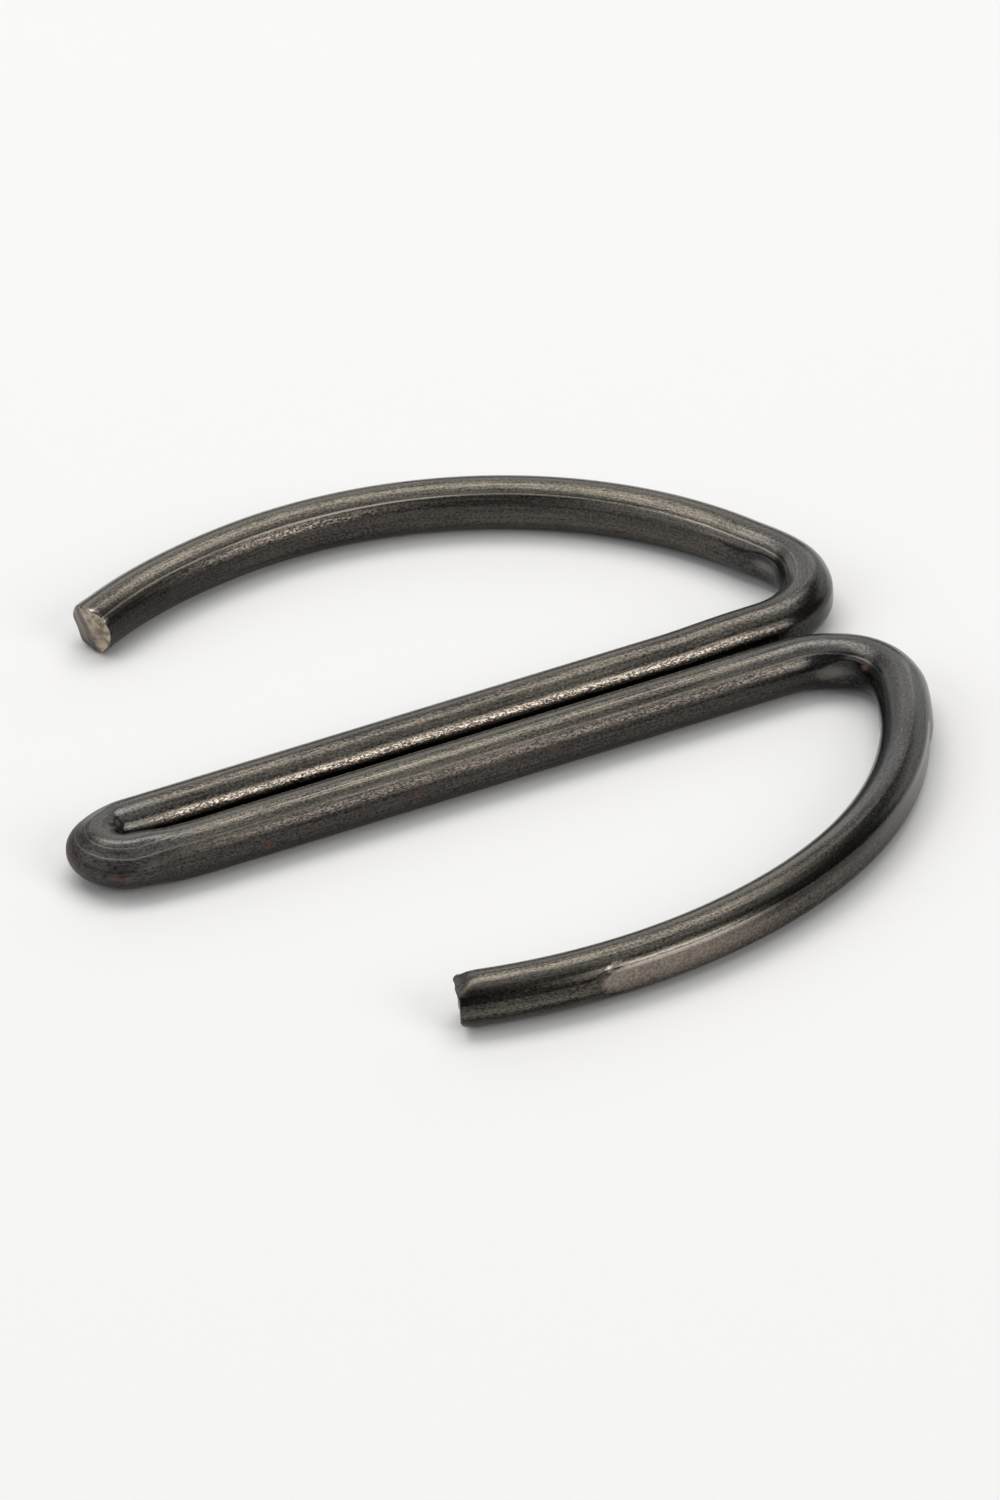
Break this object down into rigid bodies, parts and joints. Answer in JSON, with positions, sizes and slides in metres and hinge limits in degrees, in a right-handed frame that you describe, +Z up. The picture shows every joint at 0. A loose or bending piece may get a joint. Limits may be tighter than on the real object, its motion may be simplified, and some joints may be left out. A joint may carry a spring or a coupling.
{
  "type": "retaining ring",
  "caption": "Bent wire retaining ring: curved arms turn in through tight corners to straight bars joined by a hairpin, which spring it into a groove.",
  "frame": {"origin": "centre of the ring at half the height of the wire", "axes": "+X along the two bars from the hairpin to the corners, +Y from the bars to the far arm, +Z up, square to the plane of the ring"},
  "size_m": [0.0651, 0.0694, 0.004],
  "materials": {
    "spring_steel": "bare drawn spring wire, dark grey with olive and brown streaks, die-polished flats and a few rust specks"
  },
  "bodies": {
    "root": {"retaining_ring": "spring_steel"}
  },
  "joints": []
}
